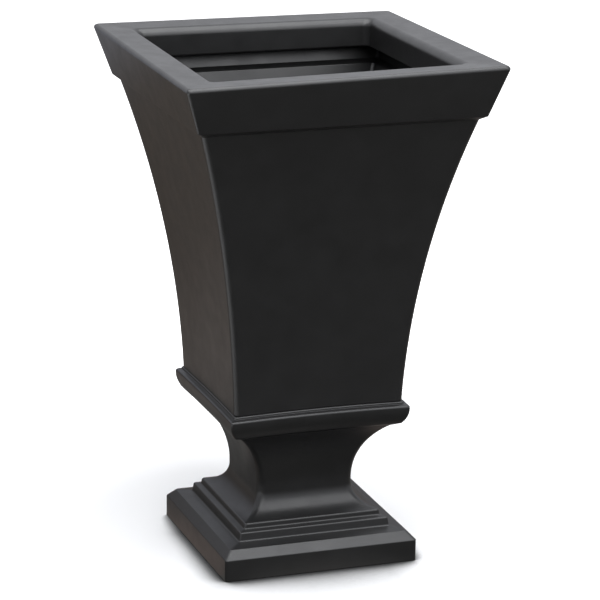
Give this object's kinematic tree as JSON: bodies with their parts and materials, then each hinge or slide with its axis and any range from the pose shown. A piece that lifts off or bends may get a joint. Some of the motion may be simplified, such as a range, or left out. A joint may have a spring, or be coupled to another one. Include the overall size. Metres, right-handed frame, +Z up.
{
  "type": "urn planter",
  "caption": "Square urn planter: wide slanted rim with a turned-down inner flange, flared bowl bowed in at the sides, and a waisted, stepped hollow pedestal bolted under it.",
  "frame": {"origin": "centre of the square that the pedestal stands on, at floor level", "axes": "+Z up along the planter's axis, +X along the front, -Y towards the viewer of the front"},
  "size_m": [0.4316, 0.4316, 0.6868],
  "materials": {
    "charcoal_plastic": "satin rotationally moulded polyethylene, dark charcoal",
    "fixing_steel": "plain stainless",
    "plug_rubber": "matt black"
  },
  "bodies": {
    "planter": {"bowl": "charcoal_plastic", "pedestal": "charcoal_plastic", "bowl_bolts": "fixing_steel", "upper_washers": "fixing_steel", "lower_washers": "fixing_steel", "bolt_nuts": "fixing_steel"},
    "plug": {"drain_plug": "plug_rubber"}
  },
  "joints": [
    {"name": "drain_plug_lift", "type": "slide", "parent": "planter", "child": "plug", "axis": [0, 0, 1], "range_m": [0, 0.48]}
  ]
}
